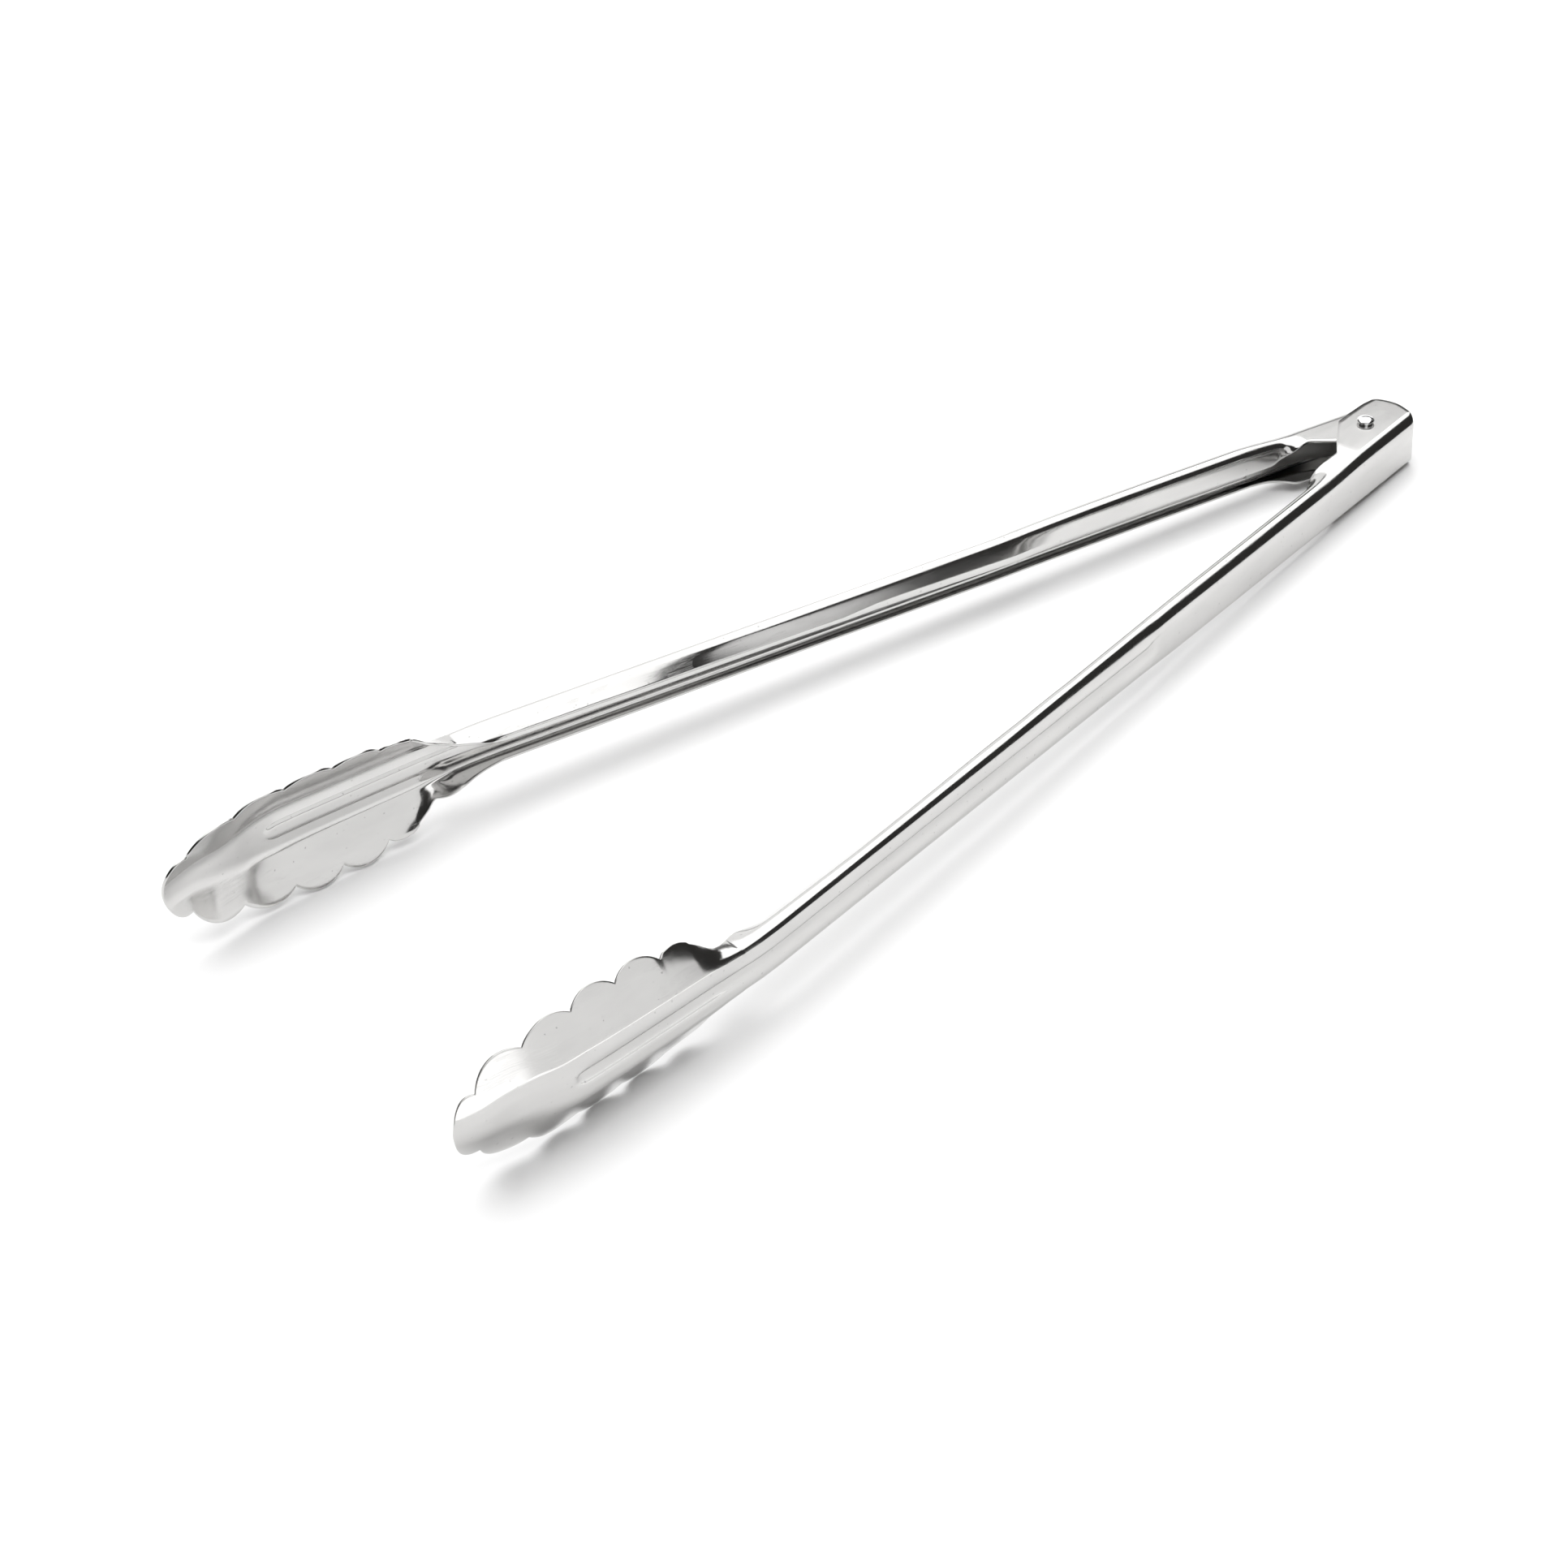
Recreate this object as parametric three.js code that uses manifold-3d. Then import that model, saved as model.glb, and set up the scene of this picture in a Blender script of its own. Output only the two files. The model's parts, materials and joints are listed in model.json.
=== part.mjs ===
// Spring loaded kitchen tongs, 16 inch size, all steel, lying open on their side.
// Millimetres, +Z up, +X from the hinge toward the tips along the line that
// halves the opening angle, +Y toward the arm whose ears are outside.
// Each arm is one pressed strip of sheet: flat ears at the hinge, a channel
// handle with a rolled upper flange, a short plain lower one and a pressed
// groove, and a scalloped scoop.
import * as THREE from 'three';
import Module from 'manifold-3d';

// ---------------------------------------------------------------- dimensions
const SHEET = 0.8;              // thickness of the arms' sheet
const OPEN_ANGLE = 20.4;        // full angle between the arms when open, degrees
const TILT = 1.72;              // lean of the tongs as they lie, hinge end low, degrees
const WEB_V = 10.2;             // web's outer face from the pivot axis
const WEB_V_INNER = 10.8;       // the same at the hinge end of the arm with the inside ears
const HINGE_HALF_OUTER = 7.95;  // half height of the arm with the outside ears
const HINGE_HALF_INNER = 6.85;  // half height of the arm with the inside ears
const CURL_R = 1.2;             // small curl between the roll and its upright lip
const WEB_BACK = -10.9;         // back end of the web
const GROOVE_FROM = 119.5;      // pressed groove's ends along the arm
const GROOVE_TO = 357.2;
const GROOVE_HANDLE = 0.45;     // its depth along the handle
const GROOVE_SCOOP = 0.6;       // and down the scoop
const TIP_S = 390.0;            // tip of the scoop from the pivot axis
const WING_ANGLE = 32;          // scoop's side wings to its middle, degrees
const TIP_ANGLE = 22;           // the same near the tip
const HOLE_R = 2.16;            // rivet holes
const PIN_R = 2.1;              // rivet shank
const HEAD_R = 2.6;             // domed head
const HEAD_RISE = 0.75;         // gap under the domed head
const SPRING_T = 0.7;           // strip thickness of the spring
const SPRING_W = 8.0;           // strip width
const SPRING_LOOP = 3.9;        // radius of the loop round the rivet, strip's middle
const SPRING_END = 36.5;        // how far the legs reach along the arms

const RAD = Math.PI / 180;
const lerp = (a, b, t) => a + (b - a) * t;
const clamp = (x, a, b) => Math.min(b, Math.max(a, x));
const smooth = (a, b, x) => { const t = clamp((x - a) / (b - a), 0, 1); return t * t * (3 - 2 * t); };
// straight-line table
function table(rows, x) {
  if (x <= rows[0][0]) return rows[0][1];
  for (let i = 1; i < rows.length; i++) {
    if (x <= rows[i][0]) {
      const [x0, y0] = rows[i - 1], [x1, y1] = rows[i];
      return lerp(y0, y1, (x - x0) / (x1 - x0));
    }
  }
  return rows[rows.length - 1][1];
}
// smooth table: Catmull-Rom slopes through the rows
function curve(rows, x) {
  const n = rows.length;
  if (x <= rows[0][0]) return rows[0][1];
  if (x >= rows[n - 1][0]) return rows[n - 1][1];
  let i = 1; while (x > rows[i][0]) i++;
  const sl = (k) => (rows[k + 1][1] - rows[k][1]) / (rows[k + 1][0] - rows[k][0]);
  const m = (k) => {
    if (k === 0) return sl(0);
    if (k === n - 1) return sl(n - 2);
    const a = sl(k - 1), b = sl(k);
    return a * b <= 0 ? 0 : 2 * a * b / (a + b);
  };
  const x0 = rows[i - 1][0], x1 = rows[i][0], h = x1 - x0, t = (x - x0) / h;
  const t2 = t * t, t3 = t2 * t;
  return (2 * t3 - 3 * t2 + 1) * rows[i - 1][1] + (t3 - 2 * t2 + t) * h * m(i - 1)
    + (-2 * t3 + 3 * t2) * rows[i][1] + (t3 - t2) * h * m(i);
}

// ------------------------------------------------------ laws along the arm (s)
// web's outer face, measured from the pivot axis
const CENTRE = [[0, WEB_V], [284, WEB_V], [292, 10.0], [300, 9.4], [308, 8.7], [330, 6.55],
  [350, 4.4], [357, 3.3], [361.5, 2.2], [367, 0.3], [374, -1.8], [382, -3.4], [387, -5.0], [TIP_S, -6.3]];
const SHIFT_INNER = [[70, WEB_V_INNER - WEB_V], [128, 0]];
// half height over the bends
const HALF_OUTER = [[WEB_BACK, HINGE_HALF_OUTER], [14, HINGE_HALF_OUTER], [36, 7.15], [110, 7.1], [128, 6.95], [150, 6.9], [180, 6.9], [220, 7.0], [300, 6.9]];
const HALF_OUTER_LOW = [[WEB_BACK, HINGE_HALF_OUTER], [110, 7.9], [128, 7.5], [300, 6.9]];
const HALF_INNER = [[WEB_BACK, HINGE_HALF_INNER], [20, HINGE_HALF_INNER], [42, 8.2], [95, 8.2], [130, 7.5], [300, 6.9]];
const HALF_INNER_LOW = [[110, HINGE_HALF_INNER], [130, 7.0], [300, 6.9]];
// upper bend, an ellipse: radius away from the web and radius up it; lower bend round
const BEND_V = [[100, 3.5], [125, 3.2], [180, 2.5], [240, 2.3], [300, 2.0]];
const BEND_Z = [[118, 3.5], [126, 4.8], [150, 4.5], [170, 3.9], [190, 3.0], [220, 2.5], [300, 2.0]];
const BEND_LOW = [[240, 2.2], [300, 2.0]];
// web's flat half width past the neck, then the scoop's flat middle
const FLAT_NECK = [[300, 5.0], [312, 5.0], [352, 5.0], [362, 4.0], [372, 2.2], [382, 0.8], [TIP_S, 0.4]];
const BEND_NECK = [[300, 2.0], [305, 2.6], [312, 4.0], [340, 5.0], [357, 6.5], [370, 10.5], [382, 12], [TIP_S, 12]];
// bend of the flange out of the web's plane, degrees
const bendAngle = (s) => lerp(90, WING_ANGLE, smooth(298.5, 313.5, s)) + (TIP_ANGLE - WING_ANGLE) * smooth(352, 372, s);
// free edge of the flat ears: along the arm, distance from the pivot axis
const EAR_EDGE = [[-12.9, -5.0], [-6.8, -6.5], [-1, -6.9], [4.3, -7.0], [8.3, -4.6], [12.3, -2.1], [18.6, 2.0], [24.5, 1.7]];
const EAR_EDGE_LOW = [...EAR_EDGE.slice(0, 6), [18.6, 1.5], [22, 1.5], [26, 4.5], [30, 6.8], [35, 7.6]];
const EAR_TRIM = [[-12.9, 2.8], [-6.8, 2.2], [-1, 1.0], [4.3, 0.1]];   // inside ears' corners cut back to clear the other web
// back edge of the ears: distance from the pivot axis, along the arm
const EAR_BACK = [[-5.0, -12.9], [-3.9, -13.8], [1.1, -14.9], [6.2, -13.6], [8.8, -12.1], [WEB_V, WEB_BACK]];
// upper flange: depth, outside radius and turn of its roll, free edge above the middle plane
const DEPTH = [[24, 5.9], [120, 5.9], [180, 6.7], [240, 7.2], [285, 7.6]];
const ROLL_R = [[110, 2.4], [180, 3.0], [240, 2.6], [285, 2.6]];
const ROLL_TURN = [[100, 89.9], [112, 80.0], [122, 68.0], [165, 66.0], [190, 62.0], [220, 50.0], [250, 41.0], [285, 40.0]];
const LIP_Z = [[110, 0.15], [180, 1.05], [240, 1.8], [285, 2.3]];
const LIP_H = [[120, 2.0], [163, 1.9], [178, 1.0]];      // height of the upright lip
// lower flange: short and plain
const DEPTH_LOW = [[35, 3.05], [120, 3.05], [180, 3.15], [240, 3.6], [285, 4.05]];
// how far the wings' outer part stays turned up past their root, degrees
const WING_CURL = [[302, 0], [308, 13], [314, 15], [319, 8], [324, 0]];
// flange past its bend as the handle turns into the scoop
const NECK_UP = [[285, 7.9], [290, 7.1], [297, 5.5], [300.5, 4.3], [303, 3.6], [305, 3.75], [306.5, 4.3], [309.5, 6.5], [313, 9.1]];
const NECK_LOW = [[285, 2.05], [290, 3.05], [295, 4.6], [300, 6.3], [303, 5.8], [305, 5.0], [306.5, 4.3], [309.5, 6.5], [313, 9.1]];

// scalloped outline of the scoop: half width against s
const CUSPS = [[322.5, 15.2], [337.0, 16.3], [351.7, 16.3], [367.3, 14.5], [382.2, 9.0]];
const LOBE_RISES = [2.9, 2.9, 2.9, 3.4];
const NECK_EDGE = [[313, 14.8], [315.5, 15.8], [318, 16.2], [320.5, 16.1], [322.5, 15.2]];
function outline(s) {
  if (s <= CUSPS[0][0]) return curve(NECK_EDGE, s);
  for (let i = 1; i < CUSPS.length; i++) {
    if (s <= CUSPS[i][0]) {
      const [s0, z0] = CUSPS[i - 1], [s1, z1] = CUSPS[i];
      const c = Math.hypot(s1 - s0, z1 - z0), rise = LOBE_RISES[i - 1], R = (c * c / 4 + rise * rise) / (2 * rise);
      // circle through both cusps, bulging out
      const mx = (s0 + s1) / 2, mz = (z0 + z1) / 2, nx = -(z1 - z0) / c, nz = (s1 - s0) / c;
      const cx = mx - nx * (R - rise), cz = mz - nz * (R - rise);
      return cz + Math.sqrt(Math.max(0, R * R - (s - cx) * (s - cx)));
    }
  }
  const a = TIP_S - CUSPS[4][0], u = clamp((s - CUSPS[4][0]) / a, 0, 1);
  return CUSPS[4][1] * Math.pow(Math.max(0, 1 - Math.pow(u, 2.2)), 0.5) + 0.6 * Math.sin(Math.PI * u);
}
// inward depth of the pressed groove: a crisp upper edge and a long gentle lower
// side along the handle, a narrow even channel down the scoop
function groove(s, z) {
  const k = smooth(290, 312, s);
  const start = 1.8 * (1 - smooth(GROOVE_FROM, GROOVE_FROM + 6.5, s));
  const u = clamp((s - (GROOVE_TO - 4.4)) / 4.4, 0, 1), end = Math.sqrt(Math.max(0.02, 1 - u * u));
  const a = z >= 0 ? lerp(0.95, 1.25, k) + start : lerp(0.4, 1.25, k);
  const b = z >= 0 ? lerp(1.95, 2.65, k) + start : lerp(4.5, 2.65, k);
  const d = lerp(GROOVE_HANDLE, GROOVE_SCOOP, k) * smooth(GROOVE_FROM, GROOVE_FROM + 4.5, s) * (1 - smooth(GROOVE_TO - 2.2, GROOVE_TO, s));
  return d * (1 - smooth(a * end, b * end, Math.abs(z)));
}
// parameters of the upper or lower half of the section at s for one of the arms
function section(s, inner, up) {
  const p = {};
  p.w = curve(CENTRE, s) + (inner ? table(SHIFT_INNER, s) : 0);
  p.theta = bendAngle(s) * RAD;
  if (s <= 300) {
    p.rv = curve(up ? BEND_V : BEND_LOW, s);
    p.rz = curve(up ? BEND_Z : BEND_LOW, s);
    p.flat = curve(inner ? (up ? HALF_INNER : HALF_INNER_LOW) : (up ? HALF_OUTER : HALF_OUTER_LOW), s) - p.rz;
  } else {
    p.rv = p.rz = curve(BEND_NECK, s);
    p.flat = curve(FLAT_NECK, s);
  }
  const half = p.flat + p.rz;
  p.k = 0;
  // the flange as a chain of straight and turned parts: [length, turn]
  if (up) {
    const F = curve(ROLL_TURN, s) * RAD, r2 = curve(ROLL_R, s), lip = curve(LIP_H, s);
    const t = Math.max(0.02, (half - r2 * (1 - Math.cos(F)) - CURL_R * Math.cos(F) - lip - curve(LIP_Z, s)) / Math.sin(F));
    const l1 = Math.max(0.02, curve(DEPTH, s) - p.rv - r2 * Math.sin(F) - t * Math.cos(F) - CURL_R * (1 - Math.sin(F)));
    p.chain = [[l1, 0], [r2 * F, F], [t, 0], [Math.max(0.02, CURL_R * (Math.PI / 2 - F)), Math.PI / 2 - F], [lip, 0]];
    p.k = Math.min(inner ? smooth(20, 28, s) : smooth(25, 40, s), 1 - smooth(284, 302, s));
    p.full = p.chain.reduce((n, c) => n + c[0], 0);
  } else {
    p.full = curve(DEPTH_LOW, s) - p.rv;
    p.chain = [[p.full, 0]];
  }
  const trim = inner ? table(EAR_TRIM, s) : 0, curl = curve(WING_CURL, s) * RAD;
  if (s >= 313) {
    const zb = p.flat + p.rz * Math.sin(p.theta);
    p.len = (outline(s) - zb) / (0.4 * Math.cos(p.theta) + 0.6 * Math.cos(p.theta + curl / 2));
  } else if (up && s < 24.5) {
    p.len = p.w - p.rv - table(EAR_EDGE, s) - trim;
  } else if (!up && s < 35) {
    p.len = Math.max(0.3, p.w - p.rv - curve(EAR_EDGE_LOW, s) - trim);
  } else {
    p.len = up ? lerp(p.w - p.rv - 1.7, p.full, smooth(24.5, inner ? 30 : 42, s)) : p.full;
    p.len = lerp(p.len, curve(up ? NECK_UP : NECK_LOW, s), smooth(278, 286, s));
  }
  if (s > 302 && curl > 0) {
    p.k = 1; p.full = p.len; p.chain = [[0.4 * p.len, 0], [0.6 * p.len, curl]];
  }
  return p;
}
// columns over the web (by height), the bend and the flange's parts
const WEB_UP = [0, 0.95, 1.45, 1.95, 2.65];
const WEB_LOW = [0, 1.25, 2.65, 4.4];
const BEND_COLS = [0, 1 / 3, 2 / 3, 1];
const CHAIN_COLS = [1, 3, 1, 2, 1];
const LOW_COLS = 3;
function sectionPoints(s, inner, up) {
  const p = section(s, inner, up), pts = [];
  const arc = (p.rv + p.rz) / 2 * p.theta;
  // past the scoop's shoulder the edge may fall inside the bend: work by distance
  let sc = 1;
  if (s > 313 && p.len < 0.5) {
    const zEnd = outline(s), si = clamp((zEnd - p.flat) / p.rz, 0, 1);
    sc = (zEnd <= p.flat ? zEnd : p.flat + p.rz * Math.asin(si)) / (p.flat + arc + 0.5);
  }
  const length = s > 313 ? Math.max(p.len, 0.5) : p.len;
  const at = (q) => {
    if (q <= p.flat) return [p.w, q];
    if (q <= p.flat + arc) {
      const f = (q - p.flat) / arc * p.theta;
      return [p.w - p.rv * (1 - Math.cos(f)), p.flat + p.rz * Math.sin(f)];
    }
    let l = q - p.flat - arc, a = p.theta;
    let v = p.w - p.rv * (1 - Math.cos(a)), z = p.flat + p.rz * Math.sin(a);
    for (let n = 0; n < p.chain.length; n++) {
      const [part, turn] = p.chain[n];
      const d = n === p.chain.length - 1 ? l : Math.min(l, part);
      if (d <= 0) break;
      const f = turn * p.k * d / part;
      if (f > 1e-4) {
        const r = d / f;
        v += r * (Math.cos(a + f) - Math.cos(a)); z += r * (Math.sin(a + f) - Math.sin(a));
      } else { v -= d * Math.sin(a); z += d * Math.cos(a); }
      a += f; l -= d;
    }
    return [v, z];
  };
  const web = up ? WEB_UP : WEB_LOW, squeeze = Math.min(1, p.flat * 0.97 / web[web.length - 1]);
  for (const h of web) {
    const [v, z] = at(h * squeeze * sc);
    pts.push([v - groove(s, up ? z : -z), z]);
  }
  for (const f of BEND_COLS) pts.push(at((p.flat + arc * f) * sc));
  if (up) {
    let run = 0;
    const total = CHAIN_COLS.reduce((a, b) => a + b, 0);
    if (p.chain.length < CHAIN_COLS.length) for (let i = 1; i <= total; i++) pts.push(at((p.flat + arc + length * i / total) * sc));
    else p.chain.forEach(([part], n) => {
      for (let i = 1; i <= CHAIN_COLS[n]; i++) pts.push(at((p.flat + arc + length * (run + part * i / CHAIN_COLS[n]) / p.full) * sc));
      run += part;
    });
  } else for (let i = 1; i <= LOW_COLS; i++) pts.push(at((p.flat + arc + length * i / LOW_COLS) * sc));
  return pts;
}
// the ears' back edge bulges behind the web: rows near the back lean with it
function lean(s, v) {
  const t = 1 - clamp((s - WEB_BACK) / 17, 0, 1);
  return (table(EAR_BACK, Math.min(v, WEB_V)) - WEB_BACK) * t;
}
const ROWS = [WEB_BACK, -6.5, -1, 4.3, 8.3, 12.3, 18.6, 20.5, 22, 24.5, 27, 30, 35, 42, 60, 95, 110, 118, 120.5, 122.5, 124.5, 127, 130,
  138, 150, 165, 180, 200, 220, 240, 262, 278, 282, 286, 290, 293.5, 297, 300, 303, 305, 306.5, 308, 309.5, 311, 313, 315.5, 318, 320.5];
for (let i = 0; i < CUSPS.length; i++) {
  ROWS.push(CUSPS[i][0]);
  if (i < CUSPS.length - 1) {
    const d = CUSPS[i + 1][0] - CUSPS[i][0];
    for (const f of [0.2, 0.5, 0.8]) ROWS.push(CUSPS[i][0] + d * f);
  }
}
for (const f of [0.25, 0.48, 0.68, 0.84, 0.94, 0.985]) ROWS.push(CUSPS[4][0] + (TIP_S - CUSPS[4][0]) * f);

// closed shell of one arm in its own frame: x along the arm, y away from the other arm
function armShell(inner) {
  const outer = [];
  for (const s of ROWS) {
    const low = sectionPoints(s, inner, false), high = sectionPoints(s, inner, true), row = [];
    for (let j = low.length - 1; j > 0; j--) row.push([s + lean(s, low[j][0]), low[j][0], -low[j][1]]);
    for (let j = 0; j < high.length; j++) row.push([s + lean(s, high[j][0]), high[j][0], high[j][1]]);
    outer.push(row);
  }
  const R = outer.length, C = outer[0].length;
  const sub = (a, b) => [a[0] - b[0], a[1] - b[1], a[2] - b[2]];
  const cross = (a, b) => [a[1] * b[2] - a[2] * b[1], a[2] * b[0] - a[0] * b[2], a[0] * b[1] - a[1] * b[0]];
  const unit = (a) => { const l = Math.hypot(...a) || 1; return a.map((x) => x / l); };
  const verts = [], id = (k, i, j) => (k * R + i) * C + j;
  for (const row of outer) for (const p of row) verts.push(p);
  for (let i = 0; i < R; i++) for (let j = 0; j < C; j++) {
    // normal out of the cell corners round the point
    let n = [0, 0, 0];
    for (const [di, dj] of [[1, 1], [-1, 1], [-1, -1], [1, -1]]) {
      const a = i + di, b = j + dj;
      if (a < 0 || a >= R || b < 0 || b >= C) continue;
      let c = unit(cross(sub(outer[a][j], outer[i][j]), sub(outer[i][b], outer[i][j])));
      if (di * dj < 0) c = c.map((x) => -x);
      n = [n[0] + c[0], n[1] + c[1], n[2] + c[2]];
    }
    n = unit(n);                       // points away from the outer face's hollow side
    const o = outer[i][j];
    verts.push([o[0] + n[0] * SHEET, o[1] + n[1] * SHEET, o[2] + n[2] * SHEET]);
  }
  const tris = [];
  const quad = (a, b, c, d) => { tris.push([a, b, c], [a, c, d]); };
  for (let i = 0; i < R - 1; i++) for (let j = 0; j < C - 1; j++) {
    quad(id(0, i, j), id(0, i, j + 1), id(0, i + 1, j + 1), id(0, i + 1, j));
    quad(id(1, i, j), id(1, i + 1, j), id(1, i + 1, j + 1), id(1, i, j + 1));
  }
  for (let i = 0; i < R - 1; i++) {
    quad(id(0, i, 0), id(0, i + 1, 0), id(1, i + 1, 0), id(1, i, 0));
    quad(id(0, i + 1, C - 1), id(0, i, C - 1), id(1, i, C - 1), id(1, i + 1, C - 1));
  }
  for (let j = 0; j < C - 1; j++) {
    quad(id(0, 0, j + 1), id(0, 0, j), id(1, 0, j), id(1, 0, j + 1));
    quad(id(0, R - 1, j), id(0, R - 1, j + 1), id(1, R - 1, j + 1), id(1, R - 1, j));
  }
  return { verts, tris };
}
// turned shape about Z from an outline of [radius, z] from axis to axis
function turned(outlinePts, n, phase = 0) {
  const verts = [], tris = [], rings = [];
  for (const [r, z] of outlinePts) {
    if (r < 1e-6) { rings.push([verts.length]); verts.push([0, 0, z]); continue; }
    const ring = [];
    for (let k = 0; k < n; k++) {
      const a = 2 * Math.PI * (k + phase) / n;
      ring.push(verts.length); verts.push([r * Math.cos(a), r * Math.sin(a), z]);
    }
    rings.push(ring);
  }
  for (let i = 0; i + 1 < rings.length; i++) {
    const A = rings[i], B = rings[i + 1];
    for (let k = 0; k < n; k++) {
      const a0 = A[k % A.length], a1 = A[(k + 1) % A.length], b0 = B[k % B.length], b1 = B[(k + 1) % B.length];
      if (A.length === 1 && B.length === 1) continue;
      if (A.length === 1) tris.push([a0, b1, b0]);
      else if (B.length === 1) tris.push([a0, a1, b0]);
      else tris.push([a0, a1, b1], [a0, b1, b0]);
    }
  }
  return { verts, tris };
}
// strip of rectangular section along a plane curve in XY, width along Z
function strip(line, width, thick) {
  const verts = [], tris = [], n = line.length;
  for (let i = 0; i < n; i++) {
    const a = line[Math.max(0, i - 1)], b = line[Math.min(n - 1, i + 1)];
    const l = Math.hypot(b[0] - a[0], b[1] - a[1]), nx = -(b[1] - a[1]) / l, ny = (b[0] - a[0]) / l;
    for (const [u, z] of [[1, -1], [1, 1], [-1, 1], [-1, -1]]) {
      verts.push([line[i][0] + nx * u * thick / 2, line[i][1] + ny * u * thick / 2, z * width / 2]);
    }
  }
  for (let i = 0; i + 1 < n; i++) for (let k = 0; k < 4; k++) {
    const a = i * 4 + k, b = i * 4 + (k + 1) % 4;
    tris.push([a, b, b + 4], [a, b + 4, a + 4]);
  }
  tris.push([0, 2, 1], [0, 3, 2]);
  const e = (n - 1) * 4;
  tris.push([e, e + 1, e + 2], [e, e + 2, e + 3]);
  return { verts, tris };
}

const wasm = await Module();
wasm.setup();
function volume(m) {
  let v = 0;
  for (const [a, b, c] of m.tris) {
    const A = m.verts[a], B = m.verts[b], C = m.verts[c];
    v += A[0] * (B[1] * C[2] - B[2] * C[1]) - A[1] * (B[0] * C[2] - B[2] * C[0]) + A[2] * (B[0] * C[1] - B[1] * C[0]);
  }
  return v / 6;
}
function solid(m) {
  const flip = volume(m) < 0;
  const mesh = new wasm.Mesh({
    numProp: 3,
    vertProperties: new Float32Array(m.verts.flat()),
    triVerts: new Uint32Array(m.tris.map((t) => (flip ? [t[0], t[2], t[1]] : t)).flat()),
  });
  return new wasm.Manifold(mesh);
}
const half = (OPEN_ANGLE / 2) * RAD;
// arm frame to the tongs' frame: side +1 for the arm toward +Y
const place = (m, side) => ({
  verts: m.verts.map(([s, v, z]) => [s * Math.cos(half) - v * Math.sin(half), side * (s * Math.sin(half) + v * Math.cos(half)), z]),
  tris: m.tris,
});

const hole = turned([[0, -20], [HOLE_R / Math.cos(Math.PI / 32), -20], [HOLE_R / Math.cos(Math.PI / 32), 20], [0, 20]], 32);
const outerArm = solid(place(armShell(false), 1)).subtract(solid(hole));
const innerArm = solid(place(armShell(true), -1)).subtract(solid(hole));

// rivet: shank through both pairs of ears, domed head standing a little proud above,
// upset button below
const zEar = HINGE_HALF_OUTER;
const rivet = solid(turned([
  [0, -zEar - 1.05], [1.2, -zEar - 1.0], [2.2, -zEar - 0.72], [2.75, -zEar - 0.32], [2.75, -zEar - 0.06],
  [PIN_R, -zEar - 0.06], [PIN_R, zEar + HEAD_RISE], [HEAD_R - 0.1, zEar + HEAD_RISE + 0.05], [HEAD_R, zEar + HEAD_RISE + 0.3], [2.3, zEar + HEAD_RISE + 0.75],
  [1.5, zEar + HEAD_RISE + 1.05], [0.7, zEar + HEAD_RISE + 1.18], [0, zEar + HEAD_RISE + 1.2],
], 32));

// spring: one flat strip, a loop behind the rivet and a leg along each web's inside
function springLine() {
  const pts = [];
  const vIn = WEB_V - SHEET - 0.08 - SPRING_T / 2;      // strip's middle when it lies on a web
  const leg = (side) => {
    // from the end of the leg toward the loop
    const out = [];
    const table2 = [[SPRING_END, vIn - 0.25], [31, vIn], [26, vIn], [21, vIn - 0.15], [16, vIn - 0.9], [11, vIn - 2.3], [6, vIn - 3.9]];
    for (const [s, v] of table2) out.push([s * Math.cos(half) - v * Math.sin(half), side * (s * Math.sin(half) + v * Math.cos(half))]);
    return out;
  };
  const a = leg(1), b = leg(-1).reverse();
  pts.push(...a);
  const n = 12;
  for (let i = 0; i <= n; i++) {
    const t = (78 + (204 * i) / n) * RAD;                 // round the back of the rivet
    pts.push([SPRING_LOOP * Math.cos(t) * 1.0, SPRING_LOOP * Math.sin(t)]);
  }
  pts.push(...b);
  return pts;
}
const spring = solid(strip(springLine(), SPRING_W, SPRING_T));

// ---------------------------------------------------------------- assemble
const STEEL = { color: 0xc9cbcc, roughness: 0.28, metalness: 1.0 };
const group = new THREE.Group();
group.name = 'kitchen_tongs';
const lift = new THREE.Matrix4().makeRotationY(-TILT * RAD);
const pieces = [
  ['outer_arm', outerArm, STEEL],
  ['inner_arm', innerArm, { color: 0xc4c6c8, roughness: 0.3, metalness: 1.0 }],
  ['pivot_rivet', rivet, { color: 0xd4d5d6, roughness: 0.2, metalness: 1.0 }],
  ['torsion_spring', spring, { color: 0x8f9294, roughness: 0.38, metalness: 1.0 }],
];
const made = [];
const box = new THREE.Box3();
for (const [name, body, look] of pieces) {
  const m = body.getMesh(), np = m.numProp, P = [];
  for (let i = 0; i < m.vertProperties.length; i += np) {
    const v = new THREE.Vector3(m.vertProperties[i], m.vertProperties[i + 1], m.vertProperties[i + 2]).applyMatrix4(lift);
    P.push(v); box.expandByPoint(v);
  }
  made.push([name, P, m.triVerts, look]);
}
const cx = (box.min.x + box.max.x) / 2, cy = (box.min.y + box.max.y) / 2, cz = box.min.z;
for (const [name, P, idx, look] of made) {
  const g = new THREE.BufferGeometry();
  const arr = new Float32Array(P.length * 3);
  P.forEach((v, i) => { arr[3 * i] = v.x - cx; arr[3 * i + 1] = v.y - cy; arr[3 * i + 2] = v.z - cz; });
  g.setAttribute('position', new THREE.BufferAttribute(arr, 3));
  g.setIndex(Array.from(idx));
  g.computeVertexNormals();
  const mesh = new THREE.Mesh(g, new THREE.MeshStandardMaterial(look));
  mesh.name = name;
  group.add(mesh);
}
// the pivot axis passes through this point, leaning by TILT from the vertical
group.userData.pivot = [-cx, -cy, -cz];
export default group;
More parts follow.
